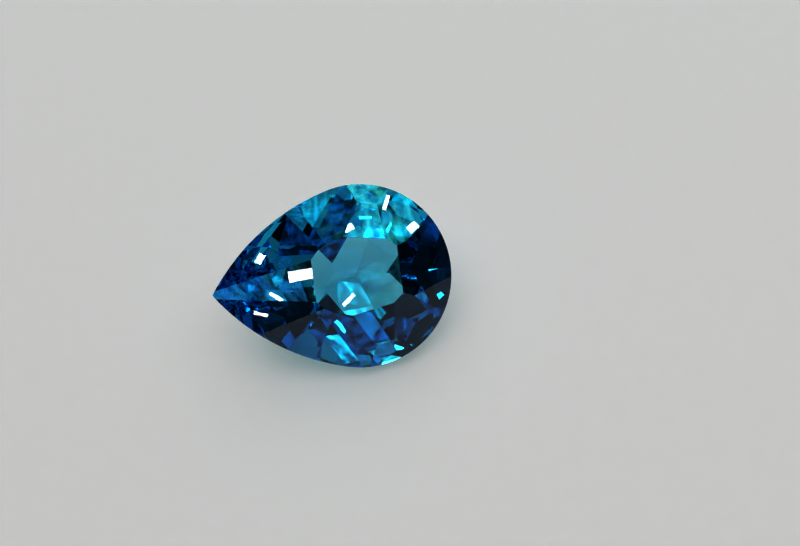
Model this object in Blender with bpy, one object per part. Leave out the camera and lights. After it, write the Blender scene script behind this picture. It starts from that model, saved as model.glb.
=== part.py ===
"""A pear-cut topaz, cut and polished, lying loose on one of its lower facets.

The stone is cut the way a gem cutter cuts it. A pear-shaped preform stands on the
girdle plane, and each facet is one flat cut through it, given by the azimuth it faces,
its angle from the girdle plane, and what it meets: the axis, the girdle or the table.
The finished stone is then turned over onto the lower facet that it rests on.

While it is cut, the stone has its table up (+Z), its round head towards +X, its tip
towards -X, and its origin at the centre of the head, in the middle of the girdle.
"""

import bpy
import bmesh
from math import atan2, cos, pi, radians, sin
from mathutils import Matrix, Vector

# Size of the stone, in metres
LENGTH = 0.0120                 # tip to round head
TIP_REACH = 1.633               # head centre to tip, in head radii
HEAD_RADIUS = LENGTH / (1.0 + TIP_REACH)
HEAD_PAST_SIDE = radians(15.0)  # how far the head's circle runs on past the widest point

# Levels along the stone's axis, from the middle of the girdle
GIRDLE_HALF = 0.03 * HEAD_RADIUS
TABLE_HEIGHT = 0.42 * HEAD_RADIUS

# Straight runs that each arc of the girdle is cut in
HEAD_RUNS = 42
SIDE_RUNS = 14

# Cutting chart. Azimuths are in degrees from the round head (0) to the tip (180); every
# facet off that line is cut on both sides. Angles are in degrees from the girdle plane.

# Pavilion mains: azimuth, angle, and the depth where the facet's plane meets the culet's
# axis, in head radii
PAVILION_MAINS = {
    "head": (45.0, 35.0, 0.770),
    "side": (79.0, 34.5, 0.790),
    "keel": (180.0, 6.0, 0.815),
}
# Pavilion breaks, up to the girdle: azimuth and angle
PAVILION_BREAKS = {
    "head": (18.5, 39.0),
    "head shoulder": (54.0, 44.0),
    "shoulder": (68.0, 46.5),
    "flank": (98.5, 41.5),
    "tip": (141.0, 38.0),
}
# Crown mains, up from the girdle: azimuth and angle
CROWN_MAINS = {
    "head": (0.0, 36.0),
    "shoulder": (50.0, 37.5),
    "side": (104.0, 34.5),
    "flank": (120.0, 35.5),
    "tip": (180.0, 18.5),
}
# Crown breaks, up from the girdle: azimuth and angle
CROWN_BREAKS = {
    "head": (15.0, 40.0),
    "head shoulder": (39.5, 45.0),
    "shoulder": (46.5, 44.0),
    "side": (79.0, 40.0),
    "flank": (109.5, 46.0),
    "tip side": (136.5, 28.5),
    "tip shoulder": (123.0, 33.0),
    "tip": (170.5, 33.5),
}
# Stars, down from the table: azimuth, angle, and how far their edge with the table is
# from the axis, in head radii
STARS = {
    "head": (21.0, 13.5, 0.56),
    "shoulder": (80.5, 22.5, 0.53),
    "side": (80.5, 28.5, 0.40),
    "tip": (163.5, 19.5, 0.55),
}

# The stone was turned over and stuck down again between crown and pavilion, so its
# pavilion is a little out of line with its crown, as on most cut stones
PAVILION_TURN = -2.5            # degrees, anticlockwise seen from above the table
CULET_OFFSET = (-0.020, 0.015)  # in head radii, towards the head and across

REST_MAIN = "side"              # the stone lies on this pavilion main, on its -Y side
PREFORM_DEPTH = 1.0             # the preform reaches this far each way, in head radii
SAME_POINT = 1.0e-7             # corners of a cut closer than this are one corner

# The girdle's side arcs, from the head's circle to the tip
TANGENT = Vector((-sin(HEAD_PAST_SIDE), cos(HEAD_PAST_SIDE)))
SIDE_OFFSET = (TIP_REACH ** 2 - 1.0) / (2.0 * (-TIP_REACH * TANGENT.x - 1.0))
SIDE_RADIUS = (1.0 - SIDE_OFFSET) * HEAD_RADIUS
SIDE_CENTRE = SIDE_OFFSET * HEAD_RADIUS * TANGENT
TIP = Vector((-TIP_REACH * HEAD_RADIUS, 0.0))
HEAD_END = pi / 2.0 + HEAD_PAST_SIDE
SIDE_END = atan2(-SIDE_CENTRE.y, TIP.x - SIDE_CENTRE.x)


def girdle_reach(azimuth):
    """How far the girdle reaches from the axis, measured towards an azimuth in radians."""
    turn = abs((azimuth + pi) % (2.0 * pi) - pi)
    if turn <= HEAD_END:
        return HEAD_RADIUS
    if turn <= SIDE_END:
        return SIDE_CENTRE.x * cos(turn) + SIDE_CENTRE.y * sin(turn) + SIDE_RADIUS
    return TIP.x * cos(turn)


def girdle_outline():
    """The girdle's corners, anticlockwise, from where the head starts on the -Y side."""
    corners = []
    for i in range(HEAD_RUNS + 1):
        angle = HEAD_END * (2.0 * i / HEAD_RUNS - 1.0)
        corners.append(HEAD_RADIUS * Vector((cos(angle), sin(angle))))
    side = []
    for i in range(1, SIDE_RUNS):
        angle = HEAD_END + (SIDE_END - HEAD_END) * i / SIDE_RUNS
        side.append(SIDE_CENTRE + SIDE_RADIUS * Vector((cos(angle), sin(angle))))
    corners.extend(side)
    corners.append(TIP)
    corners.extend(Vector((point.x, -point.y)) for point in reversed(side))
    return corners


def preform(collection):
    """A straight-sided blank with the girdle's outline, taller than the finished stone."""
    corners = girdle_outline()
    curve = bpy.data.curves.new("preform", "CURVE")
    curve.dimensions = "2D"
    curve.fill_mode = "BOTH"
    curve.extrude = PREFORM_DEPTH * HEAD_RADIUS
    spline = curve.splines.new("POLY")
    spline.points.add(len(corners) - 1)
    for point, corner in zip(spline.points, corners):
        point.co = (corner.x, corner.y, 0.0, 1.0)
    spline.use_cyclic_u = True
    blank = bpy.data.objects.new("preform", curve)
    collection.objects.link(blank)
    evaluated = blank.evaluated_get(bpy.context.evaluated_depsgraph_get())
    mesh = bpy.data.meshes.new_from_object(evaluated)
    bpy.data.objects.remove(blank)
    stone = bmesh.new()
    stone.from_mesh(mesh)
    bpy.data.meshes.remove(mesh)
    bmesh.ops.remove_doubles(stone, verts=stone.verts, dist=SAME_POINT)
    bmesh.ops.recalc_face_normals(stone, faces=stone.faces)
    return stone


def cut(stone, normal, distance):
    """Grind the stone flat down to the plane at a distance from the origin."""
    geometry = stone.verts[:] + stone.edges[:] + stone.faces[:]
    result = bmesh.ops.bisect_plane(
        stone, geom=geometry, dist=SAME_POINT, plane_co=normal * distance,
        plane_no=normal, clear_outer=True)
    rim = [item for item in result["geom_cut"] if isinstance(item, bmesh.types.BMEdge)]
    bmesh.ops.edgeloop_fill(stone, edges=rim)
    bmesh.ops.remove_doubles(stone, verts=stone.verts, dist=SAME_POINT)


def facet_normal(side, azimuth, angle):
    """The way a facet faces. side is +1 on the crown and -1 on the pavilion."""
    facing = radians(azimuth)
    slope = radians(angle)
    return Vector((sin(slope) * cos(facing), sin(slope) * sin(facing), side * cos(slope)))


def both_sides(azimuth):
    """The azimuths of a facet and of its mirror image, or of a facet on the line alone."""
    return (azimuth, -azimuth) if 0.0 < azimuth < 180.0 else (azimuth,)


def cut_through(stone, side, azimuth, angle, across, height):
    """Cut a facet through a point, given by a vector across the girdle plane and a height.

    The height is measured away from the girdle plane, up or down.
    """
    normal = facet_normal(side, azimuth, angle)
    cut(stone, normal, normal.dot(Vector((across[0], across[1], side * height))))


def cut_to_girdle(stone, side, azimuth, angle):
    """Cut a facet that just reaches the girdle's edge."""
    facing = radians(azimuth)
    reach = girdle_reach(facing)
    across = (reach * cos(facing), reach * sin(facing))
    cut_through(stone, side, azimuth, angle, across, GIRDLE_HALF)


def cut_pavilion(stone):
    """The mains meet on the culet's axis, and the breaks rise between them."""
    culet = [offset * HEAD_RADIUS for offset in CULET_OFFSET]
    for azimuth, angle, depth in PAVILION_MAINS.values():
        for facing in both_sides(azimuth):
            cut_through(stone, -1, facing + PAVILION_TURN, angle, culet, depth * HEAD_RADIUS)
    for azimuth, angle in PAVILION_BREAKS.values():
        for facing in both_sides(azimuth):
            cut_to_girdle(stone, -1, facing + PAVILION_TURN, angle)


def cut_crown(stone):
    """The table, the mains and breaks around the girdle, and the stars at the table."""
    cut(stone, Vector((0.0, 0.0, 1.0)), TABLE_HEIGHT)
    for tier in (CROWN_MAINS, CROWN_BREAKS):
        for azimuth, angle in tier.values():
            for facing in both_sides(azimuth):
                cut_to_girdle(stone, 1, facing, angle)
    for azimuth, angle, edge in STARS.values():
        for facing in both_sides(azimuth):
            reach = edge * HEAD_RADIUS
            across = (reach * cos(radians(facing)), reach * sin(radians(facing)))
            cut_through(stone, 1, facing, angle, across, TABLE_HEIGHT)


def lay_down(stone):
    """Turn the stone onto its rest facet, centred on z = 0, with the tip towards -X."""
    azimuth, angle, depth = PAVILION_MAINS[REST_MAIN]
    down = facet_normal(-1, -azimuth + PAVILION_TURN, angle)
    turn = down.rotation_difference(Vector((0.0, 0.0, -1.0))).to_matrix()
    length = turn @ Vector((1.0, 0.0, 0.0))
    spin = Matrix.Rotation(-atan2(length.y, length.x), 3, "Z")
    bmesh.ops.transform(stone, matrix=(spin @ turn).to_4x4(), verts=stone.verts)
    low = [min(vert.co[i] for vert in stone.verts) for i in range(3)]
    high = [max(vert.co[i] for vert in stone.verts) for i in range(3)]
    foot = Vector(((low[0] + high[0]) / 2.0, (low[1] + high[1]) / 2.0, low[2]))
    bmesh.ops.transform(stone, matrix=Matrix.Translation(-foot), verts=stone.verts)


def topaz_material():
    """Clear blue topaz, polished all over."""
    material = bpy.data.materials.new("topaz")
    material.use_nodes = True
    shader = material.node_tree.nodes["Principled BSDF"]
    shader.inputs["Base Color"].default_value = (0.10, 0.45, 0.60, 1.0)
    shader.inputs["Roughness"].default_value = 0.0
    shader.inputs["Metallic"].default_value = 0.0
    shader.inputs["IOR"].default_value = 1.615
    shader.inputs["Transmission Weight"].default_value = 1.0
    return material


def main():
    for old in list(bpy.data.objects):
        bpy.data.objects.remove(old)
    collection = bpy.data.collections.new("topaz_stone")
    bpy.context.scene.collection.children.link(collection)

    stone = preform(collection)
    cut_pavilion(stone)
    cut_crown(stone)
    bmesh.ops.recalc_face_normals(stone, faces=stone.faces)
    lay_down(stone)

    mesh = bpy.data.meshes.new("topaz")
    stone.to_mesh(mesh)
    stone.free()
    mesh.materials.append(topaz_material())
    topaz = bpy.data.objects.new("topaz", mesh)
    collection.objects.link(topaz)


main()
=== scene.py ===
"""Looks for the pear-cut topaz: a clear blue stone on a plain pale floor, in soft light.

The lights are round panels and small oblong lamps, all at one distance from the stone and
facing it. Each is given by where it is seen from the stone, how wide it looks from there,
and how bright its face is. The panels and lamps are there for the stone, and are hidden
from the camera and from diffuse light. One wide light from above is there for the floor,
and is hidden from reflections and from the inside of the stone. The picture is shown with
more contrast than plain sRGB.
"""

from math import cos, pi, radians, sin, tan

import bpy
from mathutils import Matrix, Quaternion, Vector


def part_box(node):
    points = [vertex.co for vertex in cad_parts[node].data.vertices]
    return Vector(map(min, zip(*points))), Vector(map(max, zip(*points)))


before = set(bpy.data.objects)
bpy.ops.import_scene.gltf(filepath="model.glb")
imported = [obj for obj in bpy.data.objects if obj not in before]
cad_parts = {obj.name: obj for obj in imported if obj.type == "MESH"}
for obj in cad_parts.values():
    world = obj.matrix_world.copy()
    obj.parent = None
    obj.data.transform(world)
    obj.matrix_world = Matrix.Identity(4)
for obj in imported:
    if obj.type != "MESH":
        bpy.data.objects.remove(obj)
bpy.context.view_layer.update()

STONE_LOW, STONE_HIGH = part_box("topaz")
STONE_CENTRE = (STONE_LOW + STONE_HIGH) / 2.0

# The photograph's frame, in pixels, and where the middle of the stone's box shows in it
FRAME_WIDTH = 800
FRAME_HEIGHT = 546
FOCAL_PIXELS = 1400.0
STONE_PIXEL = (332.3, 282.0)

# The camera: where it is seen from the stone, in degrees, how far it is turned about its
# own axis, and how far away it is
CAMERA_AZIMUTH = -79.3
CAMERA_ELEVATION = 53.6
CAMERA_ROLL = -19.2
CAMERA_DISTANCE = 0.070
SENSOR_WIDTH = 36.0             # in millimetres, as the lens is
NEAREST_SEEN = 0.001            # nothing nearer to the camera than this shows

CONTRAST = 1.5                  # the displayed value is raised to this power
BOUNCES = 20                    # how often light may turn inside the stone

# Topaz. How strongly it absorbs red, green and blue, per metre
REFRACTIVE_INDEX = 1.615
ABSORPTION = (340.0, 75.0, 32.0)
DENSEST = 345.0                 # a little over the strongest of the three
POLISH_WAVE = 0.0024            # the facets are flat but for faint waves this long,
POLISH_DEPTH = 0.0000012        # this deep, left by the lap

# The floor. It is matt, and gives off some light of its own: a painted glow that lightens the
# stone's shadow on it
FLOOR_HALF = 1.0
FLOOR_COLOUR = (0.80, 0.80, 0.79)
FLOOR_GRAIN = 0.0006            # how big its lighter and darker specks are,
FLOOR_SHADE = 0.06              # and how far they go from its colour
FLOOR_ROUGHNESS = 0.9
FLOOR_GLOW = 0.28
GLOW_COLOUR = (1.0, 0.95, 0.88)
AIR_GAP = 0.00002               # under the facet that the stone lies on

# The dim room behind the lights: how bright it is at the horizon and overhead, and the
# sine of the elevation from which it is as dark as overhead
ROOM_COLOUR = (0.4, 0.7, 1.0)
ROOM_LOW = 0.07
ROOM_HIGH = 0.01
ROOM_DARK_FROM = 0.8

LIGHT_DISTANCE = 0.6
GREY = (1.0, 1.0, 1.0)
CYAN = (0.10, 1.0, 0.95)
BLUE = (0.05, 0.45, 1.0)

# Round panels: azimuth from +X towards +Y, elevation, half angle, brightness, colour
PANELS = {
    "right": (35.0, 38.0, 7.0, 2.3, CYAN),
    "right high": (5.0, 59.0, 24.0, 0.40, GREY),
    "back far": (75.0, 39.0, 3.5, 2.6, CYAN),
    "back low": (64.0, 19.0, 24.0, 0.90, CYAN),
    "back": (98.0, 39.0, 24.0, 0.50, CYAN),
    "back high": (67.0, 70.0, 13.0, 3.9, CYAN),
    "left high": (175.0, 70.0, 7.0, 0.60, CYAN),
    "left": (200.0, 34.0, 13.0, 0.45, CYAN),
    "left near": (207.0, 36.0, 7.0, 2.5, BLUE),
    "overhead": (252.0, 79.0, 3.5, 2.6, CYAN),
    "front high": (247.0, 70.0, 13.0, 0.15, BLUE),
    "front left": (260.0, 54.0, 8.0, 0.32, GREY),
    "front middle": (273.0, 55.0, 3.0, 0.60, CYAN),
    "front side": (296.0, 34.0, 6.0, 0.85, CYAN),
    "front wide": (278.0, 39.0, 24.0, 0.19, BLUE),
    "front low": (313.0, 10.0, 13.0, 0.45, GREY),
    "front far": (325.0, 10.0, 13.0, 0.30, GREY),
    "right far": (350.0, 51.0, 6.0, 0.40, CYAN),
}
# The faces of the tinted panels are streaked. How big the streaks are, how much finer they
# are along X, Y and Z, how dark and bright, and the values of the noise where each begins
STREAK_SIZE = 0.007
STREAK_FINENESS = (1.0, 0.4, 2.0)
STREAK_DARK = 0.25
STREAK_BRIGHT = 3.1
STREAK_DARK_BELOW = 0.40
STREAK_BRIGHT_ABOVE = 0.66

# Small lamps, by kind: width and height in degrees
BAR = (1.3, 0.5)
SPOT = (0.5, 0.35)
STRIP = (0.7, 0.16)
LINE = (1.3, 0.22)
# Bright ones, that glint white off the outside of a facet: azimuth, elevation, kind, turn
GLINTS = {
    "tip main": (211.0, 42.5, BAR, 45.0),
    "tip main low": (210.5, 41.0, STRIP, 5.0),
    "tip side": (159.5, 47.0, SPOT, 150.0),
    "tip side low": (224.5, 8.0, STRIP, 0.0),
    "shoulder": (39.0, 35.5, SPOT, -80.0),
    "shoulder high": (41.0, 36.0, STRIP, -45.0),
    "star": (72.5, 63.0, SPOT, -135.0),
    "table": (269.0, 56.5, STRIP, 35.0),
}
GLINT_BRIGHTNESS = 22.0
# Weaker ones, that sparkle inside the stone: azimuth, elevation, kind, turn
SPARKS = {
    "rim": (120.5, 38.0, LINE, 160.0),
    "rim side": (138.0, 36.5, STRIP, 105.0),
    "head": (248.0, 16.5, STRIP, 125.0),
    "head low": (253.5, 19.5, STRIP, 100.0),
    "side": (282.0, 57.0, STRIP, 55.0),
    "side high": (266.0, 52.0, STRIP, -20.0),
    "side far": (267.0, 54.5, SPOT, -15.0),
    "side low": (297.0, 33.0, STRIP, 15.0),
    "top": (264.5, 49.0, STRIP, -20.0),
    "back shoulder": (188.5, 43.5, STRIP, -45.0),
    "overhead strip": (256.5, 77.5, STRIP, 90.0),
}
SPARK_BRIGHTNESS = 4.0

# One wide soft light from above, for the floor
FILL_AZIMUTH = 60.0
FILL_ELEVATION = 68.0
FILL_HALF_ANGLE = 48.0
FILL_BRIGHTNESS = 1.01
FILL_COLOUR = (0.95, 0.95, 0.98)


def towards(azimuth, elevation):
    """The direction at an azimuth from +X towards +Y and an elevation, both in degrees."""
    a = radians(azimuth)
    e = radians(elevation)
    return Vector((cos(e) * cos(a), cos(e) * sin(a), sin(e)))


def new_material(name):
    material = bpy.data.materials.new(name)
    material.use_nodes = True
    nodes = material.node_tree.nodes
    return material, nodes, material.node_tree.links, nodes["Principled BSDF"]


def noise(nodes, links, size, detail):
    """Noise in object space whose features are about this big, in metres."""
    where = nodes.new("ShaderNodeTexCoord")
    texture = nodes.new("ShaderNodeTexNoise")
    texture.inputs["Scale"].default_value = 1.0 / size
    texture.inputs["Detail"].default_value = detail
    links.new(where.outputs["Object"], texture.inputs["Vector"])
    return texture.outputs["Fac"]


def topaz_material():
    """Clear stone that takes red out of the light, with a faint wave in its polish."""
    material, nodes, links, shader = new_material("topaz clear blue")
    shader.inputs["Base Color"].default_value = (1.0, 1.0, 1.0, 1.0)
    shader.inputs["Roughness"].default_value = 0.0
    shader.inputs["IOR"].default_value = REFRACTIVE_INDEX
    shader.inputs["Transmission Weight"].default_value = 1.0

    bump = nodes.new("ShaderNodeBump")
    bump.inputs["Distance"].default_value = POLISH_DEPTH
    links.new(noise(nodes, links, POLISH_WAVE, detail=1.0), bump.inputs["Height"])
    links.new(bump.outputs["Normal"], shader.inputs["Normal"])

    absorption = nodes.new("ShaderNodeVolumeAbsorption")
    kept = [1.0 - strength / DENSEST for strength in ABSORPTION]
    absorption.inputs["Color"].default_value = (*kept, 1.0)
    absorption.inputs["Density"].default_value = DENSEST
    links.new(absorption.outputs["Volume"], nodes["Material Output"].inputs["Volume"])
    return material


def floor_material():
    """A matt pale surface with a fine grain, and a faint warm painted glow that lightens the
    stone's shadow.
    """
    material, nodes, links, shader = new_material("pale floor")
    shader.inputs["Roughness"].default_value = FLOOR_ROUGHNESS
    # painted light: the floor glows faintly though it is no lamp, and this lightens the
    # stone's shadow on it
    shader.inputs["Emission Color"].default_value = (*GLOW_COLOUR, 1.0)
    shader.inputs["Emission Strength"].default_value = FLOOR_GLOW
    shade = nodes.new("ShaderNodeMix")
    shade.data_type = "RGBA"
    darker = [(1.0 - FLOOR_SHADE) * value for value in FLOOR_COLOUR]
    lighter = [(1.0 + FLOOR_SHADE) * value for value in FLOOR_COLOUR]
    shade.inputs["A"].default_value = (*darker, 1.0)
    shade.inputs["B"].default_value = (*lighter, 1.0)
    links.new(noise(nodes, links, FLOOR_GRAIN, detail=3.0), shade.inputs["Factor"])
    links.new(shade.outputs["Result"], shader.inputs["Base Color"])
    return material


def add_floor():
    mesh = bpy.data.meshes.new("floor")
    half = FLOOR_HALF
    corners = [(-half, -half, 0.0), (half, -half, 0.0), (half, half, 0.0), (-half, half, 0.0)]
    mesh.from_pydata(corners, [], [(0, 1, 2, 3)])
    mesh.materials.append(floor_material())
    floor = bpy.data.objects.new("floor", mesh)
    floor.location.z = -AIR_GAP
    bpy.context.scene.collection.objects.link(floor)


def add_camera():
    """A camera that has the middle of the stone's box at its pixel in the frame."""
    data = bpy.data.cameras.new("camera")
    data.sensor_fit = "HORIZONTAL"
    data.sensor_width = SENSOR_WIDTH
    data.lens = SENSOR_WIDTH * FOCAL_PIXELS / FRAME_WIDTH
    data.clip_start = NEAREST_SEEN
    camera = bpy.data.objects.new("camera", data)
    bpy.context.scene.collection.objects.link(camera)
    out = towards(CAMERA_AZIMUTH, CAMERA_ELEVATION)
    level = Vector((0.0, 0.0, 1.0)).cross(out).normalized()
    upright = out.cross(level)
    roll = radians(CAMERA_ROLL)
    right = level * cos(roll) + upright * sin(roll)
    up = upright * cos(roll) - level * sin(roll)
    turn = Matrix((right, up, out)).transposed()
    offset = Vector(((STONE_PIXEL[0] - FRAME_WIDTH / 2.0) / FOCAL_PIXELS,
                     (FRAME_HEIGHT / 2.0 - STONE_PIXEL[1]) / FOCAL_PIXELS, -1.0))
    place = STONE_CENTRE - turn @ (offset * CAMERA_DISTANCE)
    camera.matrix_world = Matrix.LocRotScale(place, turn.to_quaternion(), None)
    bpy.context.scene.camera = camera


def add_room():
    """A dim room, darker overhead than at the horizon."""
    world = bpy.data.worlds.new("room")
    world.use_nodes = True
    nodes = world.node_tree.nodes
    links = world.node_tree.links
    where = nodes.new("ShaderNodeTexCoord")
    parts = nodes.new("ShaderNodeSeparateXYZ")
    level = nodes.new("ShaderNodeMapRange")
    level.inputs["From Min"].default_value = 0.0
    level.inputs["From Max"].default_value = ROOM_DARK_FROM
    level.inputs["To Min"].default_value = ROOM_LOW
    level.inputs["To Max"].default_value = ROOM_HIGH
    links.new(where.outputs["Generated"], parts.inputs["Vector"])
    links.new(parts.outputs["Z"], level.inputs["Value"])
    links.new(level.outputs["Result"], nodes["Background"].inputs["Strength"])
    nodes["Background"].inputs["Color"].default_value = (*ROOM_COLOUR, 1.0)
    bpy.context.scene.world = world


def add_light(name, shape, azimuth, elevation, width, height, turn, brightness, colour):
    """A light facing the stone, this many degrees wide and high as seen from it."""
    data = bpy.data.lights.new(name, "AREA")
    data.shape = shape
    data.size = 2.0 * LIGHT_DISTANCE * tan(radians(width / 2.0))
    data.size_y = 2.0 * LIGHT_DISTANCE * tan(radians(height / 2.0))
    data.color = colour
    face = data.size * data.size_y
    if shape == "DISK":
        face *= pi / 4.0
    data.energy = brightness * pi * face
    light = bpy.data.objects.new(name, data)
    bpy.context.scene.collection.objects.link(light)
    direction = towards(azimuth, elevation)
    spin = Quaternion((0.0, 0.0, 1.0), radians(turn))
    light.location = STONE_CENTRE + direction * LIGHT_DISTANCE
    light.rotation_mode = "QUATERNION"
    light.rotation_quaternion = direction.to_track_quat("Z", "Y") @ spin
    light.visible_camera = False
    return light


def make_streaked(light):
    """Let the light's face be bright and dark in streaks."""
    light.data.use_nodes = True
    nodes = light.data.node_tree.nodes
    links = light.data.node_tree.links
    where = nodes.new("ShaderNodeNewGeometry")
    stretch = nodes.new("ShaderNodeVectorMath")
    stretch.operation = "MULTIPLY"
    stretch.inputs[1].default_value = STREAK_FINENESS
    texture = nodes.new("ShaderNodeTexNoise")
    texture.inputs["Scale"].default_value = 1.0 / STREAK_SIZE
    texture.inputs["Detail"].default_value = 3.0
    level = nodes.new("ShaderNodeMapRange")
    level.inputs["From Min"].default_value = STREAK_DARK_BELOW
    level.inputs["From Max"].default_value = STREAK_BRIGHT_ABOVE
    level.inputs["To Min"].default_value = STREAK_DARK
    level.inputs["To Max"].default_value = STREAK_BRIGHT
    links.new(where.outputs["Position"], stretch.inputs[0])
    links.new(stretch.outputs["Vector"], texture.inputs["Vector"])
    links.new(texture.outputs["Fac"], level.inputs["Value"])
    links.new(level.outputs["Result"], nodes["Emission"].inputs["Strength"])


def add_lights():
    """The panels and lamps for the stone, and the fill for the floor."""
    for name, (azimuth, elevation, half, brightness, colour) in PANELS.items():
        panel = add_light(name, "DISK", azimuth, elevation, 2.0 * half, 2.0 * half, 0.0,
                          brightness, colour)
        panel.visible_diffuse = False
        if colour != GREY:
            make_streaked(panel)
    for lamps, brightness in ((GLINTS, GLINT_BRIGHTNESS), (SPARKS, SPARK_BRIGHTNESS)):
        for name, (azimuth, elevation, kind, turn) in lamps.items():
            lamp = add_light(name, "RECTANGLE", azimuth, elevation, *kind, turn,
                             brightness, GREY)
            lamp.visible_diffuse = False
    across = 2.0 * FILL_HALF_ANGLE
    fill = add_light("fill", "DISK", FILL_AZIMUTH, FILL_ELEVATION, across, across, 0.0,
                     FILL_BRIGHTNESS, FILL_COLOUR)
    fill.visible_glossy = False
    fill.visible_transmission = False


def main():
    scene = bpy.context.scene
    scene.view_settings.view_transform = "Standard"
    scene.view_settings.gamma = 1.0 / CONTRAST
    scene.cycles.max_bounces = BOUNCES
    scene.cycles.glossy_bounces = BOUNCES
    scene.cycles.transmission_bounces = BOUNCES
    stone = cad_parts["topaz"]
    stone.data.materials.clear()
    stone.data.materials.append(topaz_material())
    add_floor()
    add_camera()
    add_room()
    add_lights()


main()
